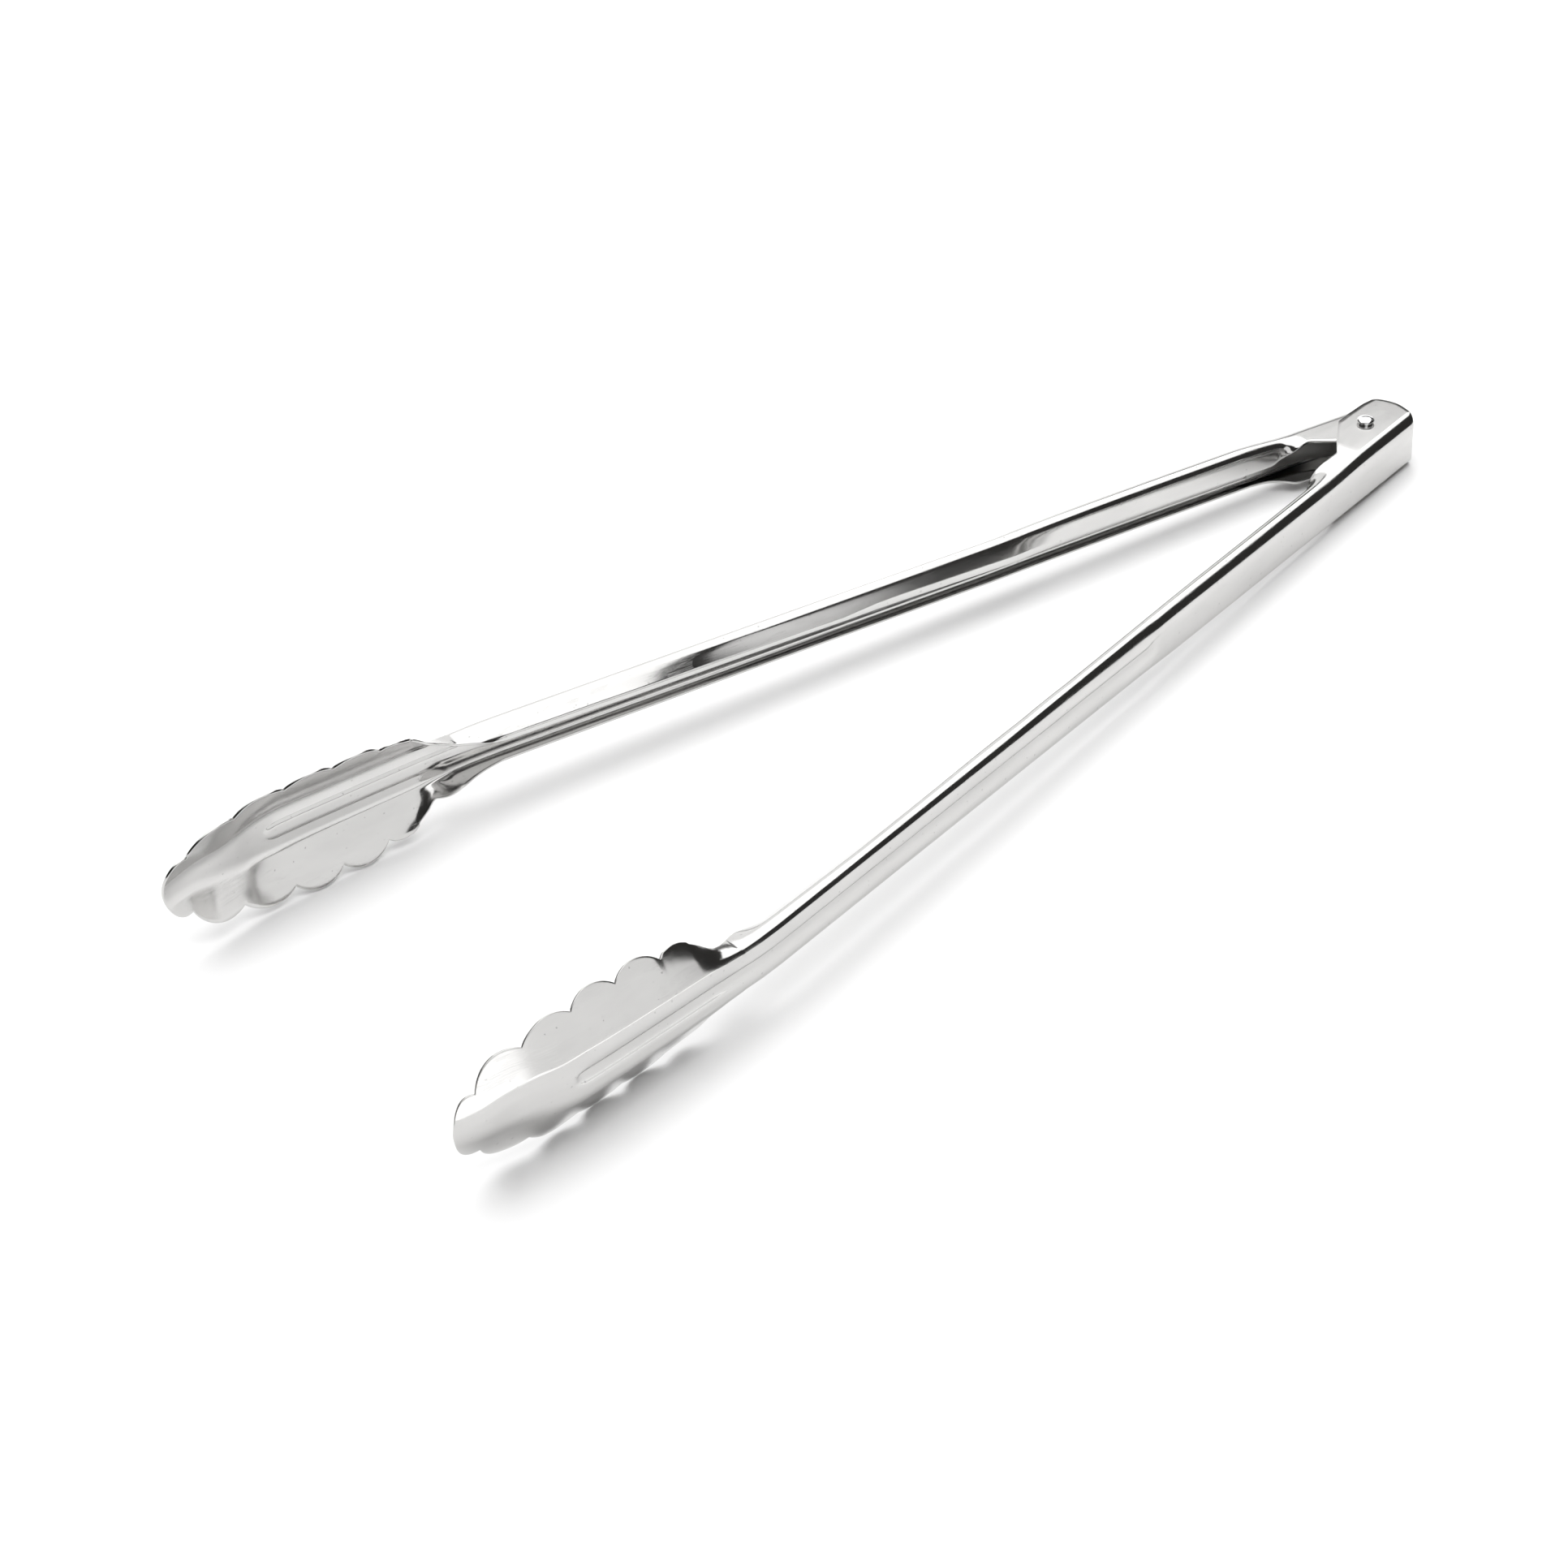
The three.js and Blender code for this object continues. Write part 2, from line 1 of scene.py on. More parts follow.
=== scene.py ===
# Spring loaded kitchen tongs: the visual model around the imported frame.
# Metres in the frame's axes; the tables below are millimetres along an arm.
import bpy
import json
import math
from mathutils import Matrix, Vector

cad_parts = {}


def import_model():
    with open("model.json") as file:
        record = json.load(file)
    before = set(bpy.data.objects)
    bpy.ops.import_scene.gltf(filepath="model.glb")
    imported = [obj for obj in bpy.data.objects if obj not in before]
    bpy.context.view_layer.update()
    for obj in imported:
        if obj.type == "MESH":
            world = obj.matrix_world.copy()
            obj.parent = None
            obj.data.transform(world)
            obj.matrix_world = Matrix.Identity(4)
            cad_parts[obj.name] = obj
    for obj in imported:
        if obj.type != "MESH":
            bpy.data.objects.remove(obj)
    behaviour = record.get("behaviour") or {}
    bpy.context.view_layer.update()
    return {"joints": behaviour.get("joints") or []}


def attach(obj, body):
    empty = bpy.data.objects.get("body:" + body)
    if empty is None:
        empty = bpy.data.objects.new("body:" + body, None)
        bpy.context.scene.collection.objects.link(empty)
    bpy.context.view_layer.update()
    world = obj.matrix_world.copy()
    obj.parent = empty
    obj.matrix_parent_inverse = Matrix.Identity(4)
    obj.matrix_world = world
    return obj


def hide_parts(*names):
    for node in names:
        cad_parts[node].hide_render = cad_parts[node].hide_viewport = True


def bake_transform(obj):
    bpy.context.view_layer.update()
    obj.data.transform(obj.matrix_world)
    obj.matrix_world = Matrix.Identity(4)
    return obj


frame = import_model()

# ------------------------------------------------------------------ dimensions
SHEET = 0.8
EDGE_R = 0.22               # rounding of the sheet's cut edges
OPEN = math.radians(20.4)
TILT = math.radians(1.72)
WEB_V, WEB_V_INNER = 10.2, 10.8
HINGE_HALF_OUTER, HINGE_HALF_INNER = 7.95, 6.85
WEB_BACK = -10.9
GROOVE_FROM, GROOVE_TO = 119.5, 357.2
TIP_S = 390.0
WING_ANGLE, TIP_ANGLE = 32.0, 22.0
HOLE_R, PIN_R, HEAD_R, HEAD_RISE = 2.16, 2.1, 2.6, 0.75
SPRING_T, SPRING_W, SPRING_LOOP, SPRING_END = 0.7, 8.0, 3.9, 36.5

# where the pivot axis passes, from the record's joint
joint = frame["joints"][0]
PIVOT = Vector([float(c) for c in joint["pos_m"]]) if "pos_m" in joint else Vector((-0.184836, 0, 0.009004))


def clamp(x, a, b):
    return min(b, max(a, x))


def lerp(a, b, t):
    return a + (b - a) * t


def smooth(a, b, x):
    t = clamp((x - a) / (b - a), 0, 1)
    return t * t * (3 - 2 * t)


def table(rows, x):
    if x <= rows[0][0]:
        return rows[0][1]
    for (x0, y0), (x1, y1) in zip(rows, rows[1:]):
        if x <= x1:
            return lerp(y0, y1, (x - x0) / (x1 - x0))
    return rows[-1][1]


def curve(rows, x):
    n = len(rows)
    if x <= rows[0][0]:
        return rows[0][1]
    if x >= rows[-1][0]:
        return rows[-1][1]
    i = 1
    while x > rows[i][0]:
        i += 1
    sl = lambda k: (rows[k + 1][1] - rows[k][1]) / (rows[k + 1][0] - rows[k][0])

    def m(k):
        if k == 0:
            return sl(0)
        if k == n - 1:
            return sl(n - 2)
        a, b = sl(k - 1), sl(k)
        return 0 if a * b <= 0 else 2 * a * b / (a + b)

    x0, x1 = rows[i - 1][0], rows[i][0]
    h = x1 - x0
    t = (x - x0) / h
    t2, t3 = t * t, t * t * t
    return ((2 * t3 - 3 * t2 + 1) * rows[i - 1][1] + (t3 - 2 * t2 + t) * h * m(i - 1)
            + (-2 * t3 + 3 * t2) * rows[i][1] + (t3 - t2) * h * m(i))


# ------------------------------------------------------------ laws along an arm
CENTRE = [(0, WEB_V), (284, WEB_V), (292, 10.0), (300, 9.4), (308, 8.7), (330, 6.55), (350, 4.4), (357, 3.3),
          (361.5, 2.2), (367, 0.3), (374, -1.8), (382, -3.4), (387, -5.0), (TIP_S, -6.3)]
SHIFT_INNER = [(70, WEB_V_INNER - WEB_V), (128, 0)]
HALF_OUTER = [(WEB_BACK, HINGE_HALF_OUTER), (14, HINGE_HALF_OUTER), (36, 7.15), (110, 7.1), (128, 6.95), (150, 6.9), (180, 6.9), (220, 7.0), (300, 6.9)]
HALF_OUTER_LOW = [(WEB_BACK, HINGE_HALF_OUTER), (110, 7.9), (128, 7.5), (300, 6.9)]
HALF_INNER = [(WEB_BACK, HINGE_HALF_INNER), (20, HINGE_HALF_INNER), (42, 8.2), (95, 8.2), (130, 7.5), (300, 6.9)]
HALF_INNER_LOW = [(110, HINGE_HALF_INNER), (130, 7.0), (300, 6.9)]
# upper bend, an ellipse: across the sheet and up it; lower bend round
BEND_V = [(100, 3.5), (125, 3.2), (180, 2.5), (240, 2.3), (300, 2.0)]
BEND_Z = [(118, 3.5), (126, 4.8), (150, 4.5), (170, 3.9), (190, 3.0), (220, 2.5), (300, 2.0)]
BEND_LOW = [(240, 2.2), (300, 2.0)]
FLAT_NECK = [(300, 5.0), (312, 5.0), (352, 5.0), (362, 4.0), (372, 2.2), (382, 0.8), (TIP_S, 0.4)]
BEND_NECK = [(300, 2.0), (305, 2.6), (312, 4.0), (340, 5.0), (357, 6.5), (370, 10.5), (382, 12), (TIP_S, 12)]
EAR_EDGE = [(-12.9, -5.0), (-6.8, -6.5), (-1, -6.9), (4.3, -7.0), (8.3, -4.6), (12.3, -2.1), (18.6, 2.0), (24.5, 1.7)]
EAR_EDGE_LOW = EAR_EDGE[:6] + [(18.6, 1.5), (22, 1.5), (26, 4.5), (30, 6.8), (35, 7.6)]
EAR_TRIM = [(-12.9, 2.8), (-6.8, 2.2), (-1, 1.0), (4.3, 0.1)]
EAR_BACK = [(-5.0, -12.9), (-3.9, -13.8), (1.1, -14.9), (6.2, -13.6), (8.8, -12.1), (WEB_V, WEB_BACK)]
# upper flange: depth, roll, the short upright lip that ends it
DEPTH = [(24, 5.9), (120, 5.9), (180, 6.7), (240, 7.2), (285, 7.6)]
ROLL_R = [(110, 2.4), (180, 3.0), (240, 2.6), (285, 2.6)]
ROLL_TURN = [(100, 89.9), (112, 80.0), (122, 68.0), (165, 66.0), (190, 62.0), (220, 50.0), (250, 41.0), (285, 40.0)]
LIP_Z = [(110, 0.15), (180, 1.05), (240, 1.8), (285, 2.3)]
CURL_R = 1.2
LIP_H = [(120, 2.0), (163, 1.9), (178, 1.0)]
# lower flange: short and plain
DEPTH_LOW = [(35, 3.05), (120, 3.05), (180, 3.15), (240, 3.6), (285, 4.05)]
# how far the wings' outer part stays turned up past their root, degrees
WING_CURL = [(302, 0), (308, 13), (314, 15), (319, 8), (324, 0)]
# flange past its bend as the handle turns into the scoop
NECK_UP = [(285, 7.9), (290, 7.1), (297, 5.5), (300.5, 4.3), (303, 3.6), (305, 3.75), (306.5, 4.3), (309.5, 6.5), (313, 9.1)]
NECK_LOW = [(285, 2.05), (290, 3.05), (295, 4.6), (300, 6.3), (303, 5.8), (305, 5.0), (306.5, 4.3), (309.5, 6.5), (313, 9.1)]
CUSPS = [(322.5, 15.2), (337.0, 16.3), (351.7, 16.3), (367.3, 14.5), (382.2, 9.0)]
LOBE_RISES = [2.9, 2.9, 2.9, 3.4]
NECK_EDGE = [(313, 14.8), (315.5, 15.8), (318, 16.2), (320.5, 16.1), (322.5, 15.2)]


def outline(s):
    if s <= CUSPS[0][0]:
        return curve(NECK_EDGE, s)
    for i in range(1, len(CUSPS)):
        if s <= CUSPS[i][0]:
            (s0, z0), (s1, z1) = CUSPS[i - 1], CUSPS[i]
            c = math.hypot(s1 - s0, z1 - z0)
            rise = LOBE_RISES[i - 1]
            R = (c * c / 4 + rise * rise) / (2 * rise)
            mx, mz, nx, nz = (s0 + s1) / 2, (z0 + z1) / 2, -(z1 - z0) / c, (s1 - s0) / c
            cx, cz = mx - nx * (R - rise), mz - nz * (R - rise)
            return cz + math.sqrt(max(0, R * R - (s - cx) ** 2))
    a = TIP_S - CUSPS[4][0]
    u = clamp((s - CUSPS[4][0]) / a, 0, 1)
    return CUSPS[4][1] * math.sqrt(max(0, 1 - u ** 2.2)) + 0.6 * math.sin(math.pi * u)


def groove(s, z):
    """inward depth of the pressed groove: a crisp upper edge and a long gentle lower
    side along the handle, a narrow even channel down the scoop"""
    k = smooth(290, 312, s)
    start = 1.8 * (1 - smooth(GROOVE_FROM, GROOVE_FROM + 6.5, s))
    u = clamp((s - (GROOVE_TO - 4.4)) / 4.4, 0, 1)
    end = math.sqrt(max(0.02, 1 - u * u))
    if z >= 0:
        a, b = lerp(0.95, 1.25, k) + start, lerp(1.95, 2.65, k) + start
    else:
        a, b = lerp(0.4, 1.25, k), lerp(4.5, 2.65, k)
    d = lerp(0.45, 0.6, k) * smooth(GROOVE_FROM, GROOVE_FROM + 4.5, s) * (1 - smooth(GROOVE_TO - 2.2, GROOVE_TO, s))
    return d * (1 - smooth(a * end, b * end, abs(z)))


def section(s, inner, up):
    w = curve(CENTRE, s) + (table(SHIFT_INNER, s) if inner else 0)
    theta = math.radians(lerp(90, WING_ANGLE, smooth(298.5, 313.5, s)) + (TIP_ANGLE - WING_ANGLE) * smooth(352, 372, s))
    if s <= 300:
        rv, rz = (curve(BEND_V, s), curve(BEND_Z, s)) if up else (curve(BEND_LOW, s),) * 2
        half = (HALF_INNER, HALF_INNER_LOW, HALF_OUTER, HALF_OUTER_LOW)[(0 if inner else 2) + (0 if up else 1)]
        flat = curve(half, s) - rz
    else:
        rv = rz = curve(BEND_NECK, s)
        flat = curve(FLAT_NECK, s)
    half = flat + rz
    k = 0.0
    # the flange as a chain of straight and turned parts
    if up:
        F = math.radians(curve(ROLL_TURN, s))
        r2, lip = curve(ROLL_R, s), curve(LIP_H, s)
        t = max(0.0, (half - r2 * (1 - math.cos(F)) - CURL_R * math.cos(F) - lip - curve(LIP_Z, s)) / math.sin(F))
        l1 = max(0.02, curve(DEPTH, s) - rv - r2 * math.sin(F) - t * math.cos(F) - CURL_R * (1 - math.sin(F)))
        chain = [(l1, 0.0), (r2 * F, F), (t, 0.0), (CURL_R * (math.pi / 2 - F), math.pi / 2 - F), (lip, 0.0)]
        k = min(smooth(*((20, 28) if inner else (25, 40)), s), 1 - smooth(284, 302, s))
        full = sum(c[0] for c in chain)
    else:
        full = curve(DEPTH_LOW, s) - rv
        chain = [(full, 0.0)]
    trim = table(EAR_TRIM, s) if inner else 0
    curl = math.radians(curve(WING_CURL, s))
    if s >= 313:
        zb = flat + rz * math.sin(theta)
        ln = (outline(s) - zb) / (0.4 * math.cos(theta) + 0.6 * math.cos(theta + curl / 2))
    elif up and s < 24.5:
        ln = w - rv - table(EAR_EDGE, s) - trim
    elif not up and s < 35:
        ln = max(0.3, w - rv - curve(EAR_EDGE_LOW, s) - trim)
    else:
        ln = lerp(w - rv - 1.7, full, smooth(24.5, 30 if inner else 42, s)) if up else full
        ln = lerp(ln, curve(NECK_UP if up else NECK_LOW, s), smooth(278, 286, s))
    if s > 302 and curl > 0:
        k, full = 1.0, ln
        chain = [(0.4 * ln, 0.0), (0.6 * ln, curl)]
    return dict(w=w, theta=theta, rv=rv, rz=rz, flat=flat, chain=chain, k=k, full=full, len=ln)


WEB_UP = [0, .5, .9, 1.15, 1.35, 1.55, 1.75, 1.95, 2.3, 2.65]
WEB_LOW = [0, .5, 1, 1.3, 1.7, 2.1, 2.5, 2.9, 3.5, 4.4]
BEND_COLS = [i / 9 for i in range(10)]
CHAIN_COLS = [2, 10, 3, 6, 2]          # columns on each part of the upper flange
LOW_COLS = 10


def section_points(s, inner, up, trim=EDGE_R):
    p = section(s, inner, up)
    w, theta, rv, rz, flat, chain, k, full, ln = (p[n] for n in ("w", "theta", "rv", "rz", "flat", "chain", "k", "full", "len"))
    arc = (rv + rz) / 2 * theta
    sc = 1.0
    if s > 313 and ln < 0.5:
        z_end = outline(s)
        si = clamp((z_end - flat) / rz, 0, 1)
        total = z_end if z_end <= flat else flat + rz * math.asin(si)
        sc = total / (flat + arc + 0.5)
    length = max(ln, 0.5) if s > 313 else ln
    whole = flat + arc + length
    sc *= (whole * sc - trim) / (whole * sc) if whole * sc > 2 * trim else 0.5

    def at(q):
        if q <= flat:
            return w, q
        if q <= flat + arc:
            f = (q - flat) / arc * theta
            return w - rv * (1 - math.cos(f)), flat + rz * math.sin(f)
        l = q - flat - arc
        v, z, a = w - rv * (1 - math.cos(theta)), flat + rz * math.sin(theta), theta
        for n, (part, turn) in enumerate(chain):
            d = l if n == len(chain) - 1 else min(l, part)
            if d <= 0:
                break
            f = turn * k * d / part if part > 0 else 0.0
            if f > 1e-4:
                r = d / f
                v += r * (math.cos(a + f) - math.cos(a)); z += r * (math.sin(a + f) - math.sin(a))
            else:
                v -= d * math.sin(a); z += d * math.cos(a)
            a += f
            l -= d
        return v, z

    web = WEB_UP if up else WEB_LOW
    squeeze = min(1, flat * 0.97 / web[-1])
    qs = [z * squeeze for z in web]
    qs += [flat + arc * f for f in BEND_COLS]
    if up and len(chain) == len(CHAIN_COLS):
        run = 0.0
        for (part, turn), n in zip(chain, CHAIN_COLS):
            qs += [flat + arc + length * (run + part * (i + 1) / n) / full for i in range(n)]
            run += part
    else:
        n = sum(CHAIN_COLS) if up else LOW_COLS
        qs += [flat + arc + length * (i + 1) / n for i in range(n)]
    out = []
    for n, q in enumerate(qs):
        v, z = at(q * sc)
        if n < len(web):
            v -= groove(s, z if up else -z)
        out.append((v, z, q * sc))
    return out


def lean(s, v):
    t = 1 - clamp((s - WEB_BACK) / 17, 0, 1)
    return (curve(EAR_BACK, min(v, WEB_V)) - WEB_BACK) * t


def steps(a, b, d):
    n = max(1, round((b - a) / d))
    return [a + (b - a) * i / n for i in range(n)]


ROWS = (steps(WEB_BACK + EDGE_R, 30, 0.9) + steps(30, 46, 1.0) + steps(46, 116, 5) + steps(116, 134, 0.75)
        + steps(134, 272, 5.5) + steps(272, 298, 1.3) + steps(298, CUSPS[0][0], 0.55))
for (s0, _), (s1, _) in zip(CUSPS, CUSPS[1:]):
    for i in range(22):
        f = i / 22
        ROWS.append(s0 + (s1 - s0) * (0.75 * f + 0.25 * (1 - math.cos(math.pi * f)) / 2))
for i in range(22):
    u = math.sin(math.pi / 2 * i / 22)
    ROWS.append(CUSPS[4][0] + (TIP_S - CUSPS[4][0]) * u)
ROWS.append(TIP_S - 0.012)

COS_T, SIN_T = math.cos(-TILT), math.sin(-TILT)


def lift(x, y, z):
    """hinge frame in mm to the object's frame in metres"""
    return Vector((x * COS_T + z * SIN_T, y, -x * SIN_T + z * COS_T)) / 1000 + PIVOT


def place(s, v, z, side):
    h = OPEN / 2
    return lift(s * math.cos(h) - v * math.sin(h), side * (s * math.sin(h) + v * math.cos(h)), z)


def arm_mesh(name, inner):
    side = -1 if inner else 1
    grid = []
    for s in ROWS:
        low, high = section_points(s, inner, False), section_points(s, inner, True)
        row = [Vector((s + lean(s, v), v, -z)) for v, z, q in reversed(low[1:])]
        row += [Vector((s + lean(s, v), v, z)) for v, z, q in high]
        qs = [-q for v, z, q in reversed(low[1:])] + [q for v, z, q in high]
        grid.append((s, row, qs))
    R, C = len(grid), len(grid[0][1])
    P = [g[1] for g in grid]
    N = [[None] * C for _ in range(R)]
    for i in range(R):
        for j in range(C):
            n = Vector()
            for di, dj in ((1, 1), (-1, 1), (-1, -1), (1, -1)):
                a, b = i + di, j + dj
                if 0 <= a < R and 0 <= b < C:
                    c = (P[a][j] - P[i][j]).cross(P[i][b] - P[i][j])
                    if c.length > 1e-12:
                        n += c.normalized() * (di * dj)
            N[i][j] = n.normalized()
    # N points to the hollow side
    verts, uvs = [], []
    vid = {}

    def add(key, p, uv):
        vid[key] = len(verts)
        verts.append(p); uvs.append(uv)

    for k in (0, 1):
        for i in range(R):
            for j in range(C):
                add((k, i, j), P[i][j] + N[i][j] * (SHEET * k), (grid[i][0] / 1000, grid[i][2][j] / 1000 + 0.1 * k))
    faces = []
    for i in range(R - 1):
        for j in range(C - 1):
            a, b, c, d = ((0, i, j), (0, i, j + 1), (0, i + 1, j + 1), (0, i + 1, j))
            faces.append([vid[a], vid[b], vid[c], vid[d]])
            a, b, c, d = ((1, i, j), (1, i + 1, j), (1, i + 1, j + 1), (1, i, j + 1))
            faces.append([vid[a], vid[b], vid[c], vid[d]])
    # rounded cut edge all the way round
    loop = ([(0, j) for j in range(C)] + [(i, C - 1) for i in range(1, R)] + [(R - 1, j) for j in range(C - 2, -1, -1)]
            + [(i, 0) for i in range(R - 2, 0, -1)])
    L = len(loop)
    prof = []
    n_arc = 3
    for m in range(1, n_arc + 1):
        a = math.pi / 2 * m / n_arc
        prof.append((EDGE_R * math.sin(a), EDGE_R * (1 - math.cos(a))))
    for m in range(0, n_arc):
        a = math.pi / 2 * (1 - m / n_arc)
        prof.append((EDGE_R * math.sin(a), SHEET - EDGE_R * (1 - math.cos(a))))
    prof = prof[:n_arc] + prof[n_arc:]
    ring = []
    for k, (i, j) in enumerate(loop):
        i0, j0 = loop[k - 1]
        i1, j1 = loop[(k + 1) % L]
        tang = (P[i1][j1] - P[i0][j0])
        n = N[i][j]
        out = tang.cross(n)
        if out.length < 1e-9:
            out = (P[i][j] - P[min(max(i, 1), R - 2)][min(max(j, 1), C - 2)])
        out = (out - n * out.dot(n)).normalized()
        inside = P[min(max(i, 1), R - 2)][min(max(j, 1), C - 2)] - P[i][j]
        if out.dot(inside) > 0:
            out = -out
        ids = [vid[(0, i, j)]]
        for (o, d) in prof:
            ids.append(len(verts))
            verts.append(P[i][j] + out * o + n * d)
            uvs.append((grid[i][0] / 1000 + 0.02, 0.2 + d / 1000 + 0.0 * k))
        ids.append(vid[(1, i, j)])
        ring.append(ids)
    for k in range(L):
        A, B = ring[k], ring[(k + 1) % L]
        for m in range(len(A) - 1):
            faces.append([A[m], A[m + 1], B[m + 1], B[m]])
    me = bpy.data.meshes.new(name)
    me.from_pydata([place(p.x, p.y, p.z, side) for p in verts], [], faces)
    uv = me.uv_layers.new(name="along")
    for l in me.loops:
        uv.data[l.index].uv = uvs[l.vertex_index]
    me.validate(); me.update()
    return me


def face_out(ob):
    import bmesh
    bm = bmesh.new(); bm.from_mesh(ob.data)
    bmesh.ops.recalc_face_normals(bm, faces=bm.faces)
    if bm.calc_volume(signed=True) < 0:
        bmesh.ops.reverse_faces(bm, faces=bm.faces)
    bm.to_mesh(ob.data); bm.free()


def obj(name, me, mat):
    ob = bpy.data.objects.new(name, me)
    bpy.context.scene.collection.objects.link(ob)
    me.materials.append(mat)
    face_out(ob)
    me.polygons.foreach_set("use_smooth", [True] * len(me.polygons))
    return ob


def sharpen(me, deg):
    if hasattr(me, "set_sharp_from_angle"):
        me.set_sharp_from_angle(angle=math.radians(deg))


def turned(prof, n):
    """turned shape about the pivot axis from (radius, height) pairs, in the hinge frame"""
    verts, faces, rings, uvs = [], [], [], []
    run = 0.0
    for k, (r, z) in enumerate(prof):
        if k:
            run += math.hypot(r - prof[k - 1][0], z - prof[k - 1][1])
        if r < 1e-6:
            rings.append([len(verts)]); verts.append((0, 0, z)); uvs.append((0, run / 1000)); continue
        ids = []
        for m in range(n):
            a = 2 * math.pi * m / n
            ids.append(len(verts)); verts.append((r * math.cos(a), r * math.sin(a), z))
            uvs.append((abs(a - math.pi) * r / 1000, run / 1000))
        rings.append(ids)
    for A, B in zip(rings, rings[1:]):
        for m in range(n):
            a0, a1, b0, b1 = A[m % len(A)], A[(m + 1) % len(A)], B[m % len(B)], B[(m + 1) % len(B)]
            if len(A) == 1:
                faces.append([a0, b1, b0])
            elif len(B) == 1:
                faces.append([a0, a1, b0])
            else:
                faces.append([a0, a1, b1, b0])
    return verts, faces, uvs


def mesh_of(name, verts, faces, uvs):
    me = bpy.data.meshes.new(name)
    me.from_pydata([lift(*v) for v in verts], [], faces)
    uv = me.uv_layers.new(name="along")
    for l in me.loops:
        uv.data[l.index].uv = uvs[l.vertex_index]
    me.validate(); me.update()
    return me


# ------------------------------------------------------------------- materials
class Nodes:
    def __init__(self, name):
        self.mat = bpy.data.materials.new(name)
        self.mat.use_nodes = True
        self.nt = self.mat.node_tree
        self.nt.nodes.clear()
        self.out = self.add("ShaderNodeOutputMaterial")
        self.bsdf = self.add("ShaderNodeBsdfPrincipled")
        self.nt.links.new(self.bsdf.outputs[0], self.out.inputs[0])

    def add(self, kind, **props):
        n = self.nt.nodes.new(kind)
        for k, v in props.items():
            setattr(n, k, v)
        return n

    def link(self, a, b):
        self.nt.links.new(a, b)

    def noise(self, vec, scale, detail=2.0, rough=0.5):
        n = self.add("ShaderNodeTexNoise")
        n.inputs["Scale"].default_value = scale
        n.inputs["Detail"].default_value = detail
        n.inputs["Roughness"].default_value = rough
        self.link(vec, n.inputs["Vector"])
        return n.outputs["Fac"]

    def mapping(self, vec, scale=(1, 1, 1), rot=(0, 0, 0), loc=(0, 0, 0)):
        n = self.add("ShaderNodeMapping")
        n.inputs["Scale"].default_value = scale
        n.inputs["Rotation"].default_value = rot
        n.inputs["Location"].default_value = loc
        self.link(vec, n.inputs["Vector"])
        return n.outputs[0]

    def ramp(self, fac, stops):
        n = self.add("ShaderNodeValToRGB")
        e = n.color_ramp.elements
        e[0].position, e[0].color = stops[0][0], (*([stops[0][1]] * 3), 1) if not isinstance(stops[0][1], tuple) else (*stops[0][1], 1)
        e[1].position, e[1].color = stops[-1][0], (*([stops[-1][1]] * 3), 1) if not isinstance(stops[-1][1], tuple) else (*stops[-1][1], 1)
        for p, c in stops[1:-1]:
            x = e.new(p)
            x.color = (*([c] * 3), 1) if not isinstance(c, tuple) else (*c, 1)
        self.link(fac, n.inputs[0])
        return n.outputs[0]

    def math(self, op, a, b=None, clamp_=False):
        n = self.add("ShaderNodeMath", operation=op, use_clamp=clamp_)
        for k, x in enumerate((a, b)):
            if x is None:
                continue
            if isinstance(x, (int, float)):
                n.inputs[k].default_value = x
            else:
                self.link(x, n.inputs[k])
        return n.outputs[0]

    def bump(self, height, strength, distance, normal=None):
        n = self.add("ShaderNodeBump")
        n.inputs["Strength"].default_value = strength
        n.inputs["Distance"].default_value = distance
        self.link(height, n.inputs["Height"])
        if normal is not None:
            self.link(normal, n.inputs["Normal"])
        return n.outputs[0]


def scratches(N, vec, scale, width, rot, seed, thin=0.5, spread=25.0):
    """sparse thin lines: stretched noise crossings kept only where a broad noise allows"""
    m = N.mapping(vec, scale=(scale / spread, scale, 1), rot=(0, 0, rot), loc=(seed, seed * .7, 0))
    n = N.noise(m, 1.0, 0.0, 0.5)
    line = N.math("ABSOLUTE", N.math("SUBTRACT", n, 0.5))
    line = N.math("LESS_THAN", line, width)
    gate = N.noise(N.mapping(vec, scale=(70, 160, 1), loc=(seed * 3, seed, 0)), 1.0, 1.0, 0.5)
    gate = N.math("GREATER_THAN", gate, thin)
    return N.math("MULTIPLY", line, gate)


